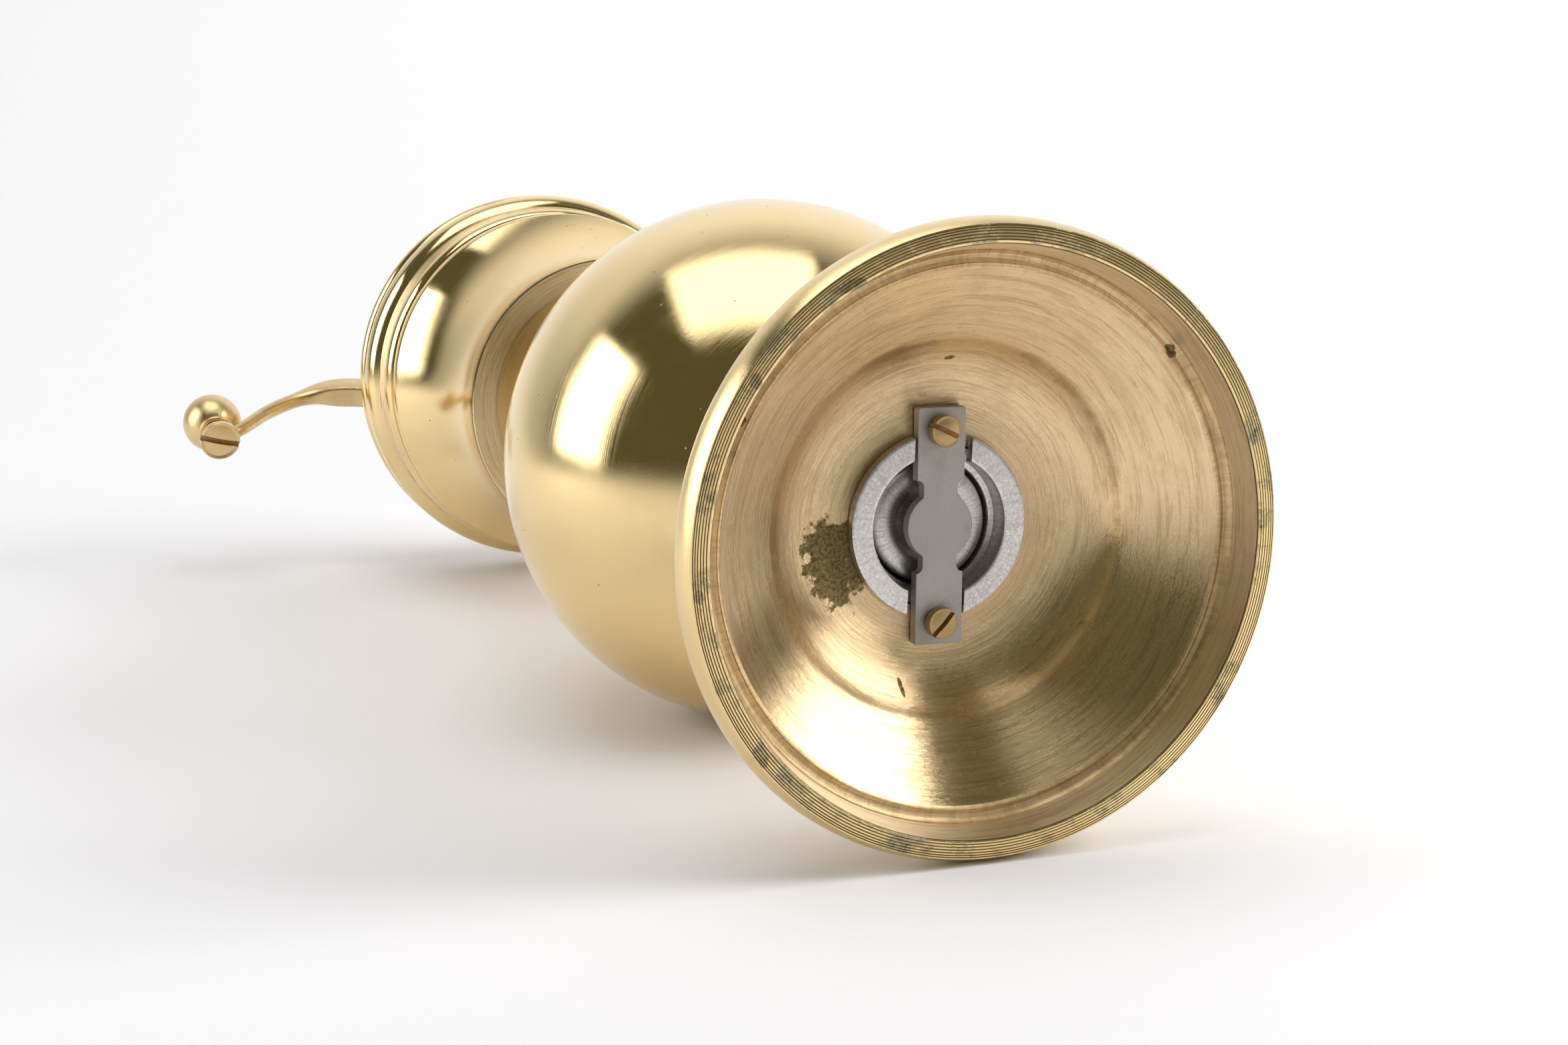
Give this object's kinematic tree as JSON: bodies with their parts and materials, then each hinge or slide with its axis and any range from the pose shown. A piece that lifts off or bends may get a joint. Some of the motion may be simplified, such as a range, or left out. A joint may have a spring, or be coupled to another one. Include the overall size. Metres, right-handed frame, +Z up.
{
  "type": "pepper mill",
  "caption": "Turned brass pepper mill with a round body, bell head, swan-neck crank and ball knob, and steel burrs held by a strap under the hollow foot",
  "frame": {"origin": "centre of the bounding box in X and Y, crank included, at the height of the flat rim that the mill stands on", "axes": "+Z runs up the mill from foot to crank, +X points along the crank arm towards the knob, +Y completes a right-handed frame. The mill's own axis is parallel to Z at x = -17.075 mm, y = 0"},
  "size_m": [0.1222, 0.088, 0.2637],
  "materials": {
    "foot_brass": "polished outside, brushed on the turned faces underneath, with dark patina in the grooves",
    "globe_brass": "mirror polished, with fine pinholes and hairline scratches",
    "head_brass": "mirror polished, brushed on the flat underside",
    "lid_brass": "polished, turned",
    "fitting_brass": "turned, lightly brushed",
    "ring_steel": "ground face with fine turning marks and a few rust specks",
    "burr_steel": "dark hardened steel, worn bright on the crests",
    "spindle_steel": "drawn square bar",
    "strap_steel": "bead blasted, matt grey",
    "screw_brass": "dull, tarnished in the slots",
    "washer_steel": "pressed sheet",
    "spring_steel": "oiled spring wire",
    "crank_brass": "cast and filed, polished, worn",
    "knob_brass": "polished ball, brushed screw head"
  },
  "bodies": {
    "mill": {"foot_base": "foot_brass", "globe_body": "globe_brass", "head_cup": "head_brass", "lid_cover": "lid_brass", "lid_bush": "fitting_brass", "bush_nut": "fitting_brass", "stator_ring": "ring_steel", "bridge_strap": "strap_steel", "bridge_screw_1": "screw_brass", "bridge_screw_2": "screw_brass", "upper_bridge": "strap_steel", "bridge_circlip": "spring_steel", "spring_washer_top": "washer_steel", "thrust_washer": "washer_steel"},
    "crank": {"crank_arm": "crank_brass", "hub_washer": "washer_steel", "rotor_spring": "spring_steel"},
    "knob_set": {"knob": "knob_brass", "knob_screw": "knob_brass"},
    "nut": {"adjusting_nut": "fitting_brass"},
    "grinder": {"spindle": "spindle_steel", "rotor_burr": "burr_steel", "rotor_pin": "spindle_steel", "spring_washer_low": "washer_steel"}
  },
  "joints": [
    {"name": "crank_turn", "type": "hinge", "parent": "mill", "child": "crank", "pos_m": [-0.01707, 0, 0.25], "axis": [0, 0, 1], "continuous": true},
    {"name": "knob_spin", "type": "hinge", "parent": "crank", "child": "knob_set", "pos_m": [0.05473, -0.00174, 0.24394], "axis": [0, 0.2756, 0.9613], "continuous": true},
    {"name": "nut_turn", "type": "hinge", "parent": "crank", "child": "nut", "pos_m": [-0.01707, 0, 0.2585], "axis": [0, 0, -1], "range_deg": [0, 355]},
    {"name": "spindle_lift", "type": "slide", "parent": "crank", "child": "grinder", "axis": [0, 0, 1], "range_m": [0, 0.00078], "deforming": ["rotor_spring"]}
  ],
  "couplings": [
    {"joint": "nut_turn", "follows": "spindle_lift", "rad_per_m": 7854}
  ]
}
